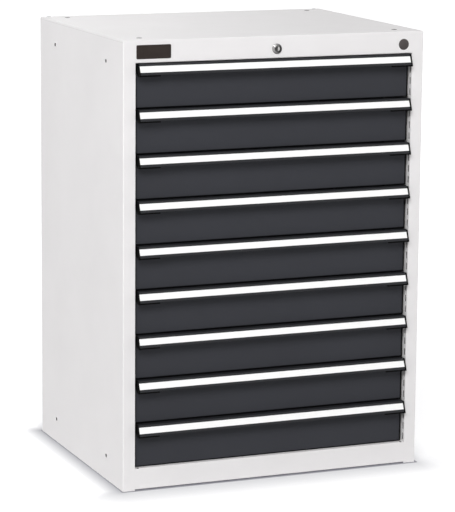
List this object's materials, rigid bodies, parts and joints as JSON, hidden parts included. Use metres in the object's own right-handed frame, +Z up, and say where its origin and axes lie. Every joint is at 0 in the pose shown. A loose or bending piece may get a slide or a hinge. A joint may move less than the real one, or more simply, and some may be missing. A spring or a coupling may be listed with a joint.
{
  "type": "multi-drawer cabinet",
  "caption": "Free-standing sheet steel cabinet with equal full-width drawers on telescopic runners, sloped handle profiles with label strips, and a central lock.",
  "frame": {"origin": "on the floor, in the middle of the housing", "axes": "+X to the right along the drawer fronts, +Y from the front to the back, +Z up"},
  "size_m": [0.717, 0.5864, 1],
  "materials": {
    "housing_paint": "light grey fine powder coat",
    "drawer_paint": "dark grey fine powder coat",
    "handle_profile": "dark grey satin coat on an extruded profile, with black plastic caps",
    "label": "white strip under a clear film",
    "zinc_steel": "zinc-plated steel",
    "lock_metal": "polished nickel",
    "plate": "bare dark plate",
    "plug_plastic": "dark moulded plastic"
  },
  "bodies": {
    "housing": {"side_panel_left": "housing_paint", "side_panel_right": "housing_paint", "top_panel": "housing_paint", "back_panel": "housing_paint", "base_panel": "housing_paint", "top_rail": "housing_paint", "bottom_rail": "housing_paint", "slotted_uprights": "housing_paint", "fixed_runners": "zinc_steel", "lock_cylinder": "lock_metal", "lock_channel": "housing_paint", "nameplate": "plate", "cover_plug": "plug_plastic"},
    "lock_core": {"lock_barrel": "lock_metal"},
    "locking_bar": {"lock_bar": "zinc_steel"},
    "drawer_1": {"drawer_1_box": "drawer_paint", "drawer_1_front": "drawer_paint", "drawer_1_handle": "handle_profile", "drawer_1_label": "label"},
    "drawer_1_middle": {"drawer_1_slides": "zinc_steel"},
    "drawer_2": {"drawer_2_box": "drawer_paint", "drawer_2_front": "drawer_paint", "drawer_2_handle": "handle_profile", "drawer_2_label": "label"},
    "drawer_2_middle": {"drawer_2_slides": "zinc_steel"},
    "drawer_3": {"drawer_3_box": "drawer_paint", "drawer_3_front": "drawer_paint", "drawer_3_handle": "handle_profile", "drawer_3_label": "label"},
    "drawer_3_middle": {"drawer_3_slides": "zinc_steel"},
    "drawer_4": {"drawer_4_box": "drawer_paint", "drawer_4_front": "drawer_paint", "drawer_4_handle": "handle_profile", "drawer_4_label": "label"},
    "drawer_4_middle": {"drawer_4_slides": "zinc_steel"},
    "drawer_5": {"drawer_5_box": "drawer_paint", "drawer_5_front": "drawer_paint", "drawer_5_handle": "handle_profile", "drawer_5_label": "label"},
    "drawer_5_middle": {"drawer_5_slides": "zinc_steel"},
    "drawer_6": {"drawer_6_box": "drawer_paint", "drawer_6_front": "drawer_paint", "drawer_6_handle": "handle_profile", "drawer_6_label": "label"},
    "drawer_6_middle": {"drawer_6_slides": "zinc_steel"},
    "drawer_7": {"drawer_7_box": "drawer_paint", "drawer_7_front": "drawer_paint", "drawer_7_handle": "handle_profile", "drawer_7_label": "label"},
    "drawer_7_middle": {"drawer_7_slides": "zinc_steel"},
    "drawer_8": {"drawer_8_box": "drawer_paint", "drawer_8_front": "drawer_paint", "drawer_8_handle": "handle_profile", "drawer_8_label": "label"},
    "drawer_8_middle": {"drawer_8_slides": "zinc_steel"},
    "drawer_9": {"drawer_9_box": "drawer_paint", "drawer_9_front": "drawer_paint", "drawer_9_handle": "handle_profile", "drawer_9_label": "label"},
    "drawer_9_middle": {"drawer_9_slides": "zinc_steel"}
  },
  "joints": [
    {"name": "lock_turn", "type": "hinge", "parent": "housing", "child": "lock_core", "pos_m": [0, -0.286, 0.971], "axis": [0, 1, 0], "range_deg": [0, 90]},
    {"name": "lock_bar_lift", "type": "slide", "parent": "housing", "child": "locking_bar", "axis": [0, 0, 1], "range_m": [0, 0.012]},
    {"name": "drawer_1_pull", "type": "slide", "parent": "housing", "child": "drawer_1", "axis": [0, -1, 0], "range_m": [0, 0.45]},
    {"name": "drawer_1_middle_slide", "type": "slide", "parent": "housing", "child": "drawer_1_middle", "axis": [0, -1, 0], "range_m": [0, 0.225]},
    {"name": "drawer_2_pull", "type": "slide", "parent": "housing", "child": "drawer_2", "axis": [0, -1, 0], "range_m": [0, 0.45]},
    {"name": "drawer_2_middle_slide", "type": "slide", "parent": "housing", "child": "drawer_2_middle", "axis": [0, -1, 0], "range_m": [0, 0.225]},
    {"name": "drawer_3_pull", "type": "slide", "parent": "housing", "child": "drawer_3", "axis": [0, -1, 0], "range_m": [0, 0.45]},
    {"name": "drawer_3_middle_slide", "type": "slide", "parent": "housing", "child": "drawer_3_middle", "axis": [0, -1, 0], "range_m": [0, 0.225]},
    {"name": "drawer_4_pull", "type": "slide", "parent": "housing", "child": "drawer_4", "axis": [0, -1, 0], "range_m": [0, 0.45]},
    {"name": "drawer_4_middle_slide", "type": "slide", "parent": "housing", "child": "drawer_4_middle", "axis": [0, -1, 0], "range_m": [0, 0.225]},
    {"name": "drawer_5_pull", "type": "slide", "parent": "housing", "child": "drawer_5", "axis": [0, -1, 0], "range_m": [0, 0.45]},
    {"name": "drawer_5_middle_slide", "type": "slide", "parent": "housing", "child": "drawer_5_middle", "axis": [0, -1, 0], "range_m": [0, 0.225]},
    {"name": "drawer_6_pull", "type": "slide", "parent": "housing", "child": "drawer_6", "axis": [0, -1, 0], "range_m": [0, 0.45]},
    {"name": "drawer_6_middle_slide", "type": "slide", "parent": "housing", "child": "drawer_6_middle", "axis": [0, -1, 0], "range_m": [0, 0.225]},
    {"name": "drawer_7_pull", "type": "slide", "parent": "housing", "child": "drawer_7", "axis": [0, -1, 0], "range_m": [0, 0.45]},
    {"name": "drawer_7_middle_slide", "type": "slide", "parent": "housing", "child": "drawer_7_middle", "axis": [0, -1, 0], "range_m": [0, 0.225]},
    {"name": "drawer_8_pull", "type": "slide", "parent": "housing", "child": "drawer_8", "axis": [0, -1, 0], "range_m": [0, 0.45]},
    {"name": "drawer_8_middle_slide", "type": "slide", "parent": "housing", "child": "drawer_8_middle", "axis": [0, -1, 0], "range_m": [0, 0.225]},
    {"name": "drawer_9_pull", "type": "slide", "parent": "housing", "child": "drawer_9", "axis": [0, -1, 0], "range_m": [0, 0.45]},
    {"name": "drawer_9_middle_slide", "type": "slide", "parent": "housing", "child": "drawer_9_middle", "axis": [0, -1, 0], "range_m": [0, 0.225]}
  ],
  "couplings": [
    {"joint": "lock_turn", "follows": "lock_bar_lift", "rad_per_m": 130.9},
    {"joint": "drawer_1_middle_slide", "follows": "drawer_1_pull", "ratio": 0.5},
    {"joint": "drawer_2_middle_slide", "follows": "drawer_2_pull", "ratio": 0.5},
    {"joint": "drawer_3_middle_slide", "follows": "drawer_3_pull", "ratio": 0.5},
    {"joint": "drawer_4_middle_slide", "follows": "drawer_4_pull", "ratio": 0.5},
    {"joint": "drawer_5_middle_slide", "follows": "drawer_5_pull", "ratio": 0.5},
    {"joint": "drawer_6_middle_slide", "follows": "drawer_6_pull", "ratio": 0.5},
    {"joint": "drawer_7_middle_slide", "follows": "drawer_7_pull", "ratio": 0.5},
    {"joint": "drawer_8_middle_slide", "follows": "drawer_8_pull", "ratio": 0.5},
    {"joint": "drawer_9_middle_slide", "follows": "drawer_9_pull", "ratio": 0.5}
  ]
}
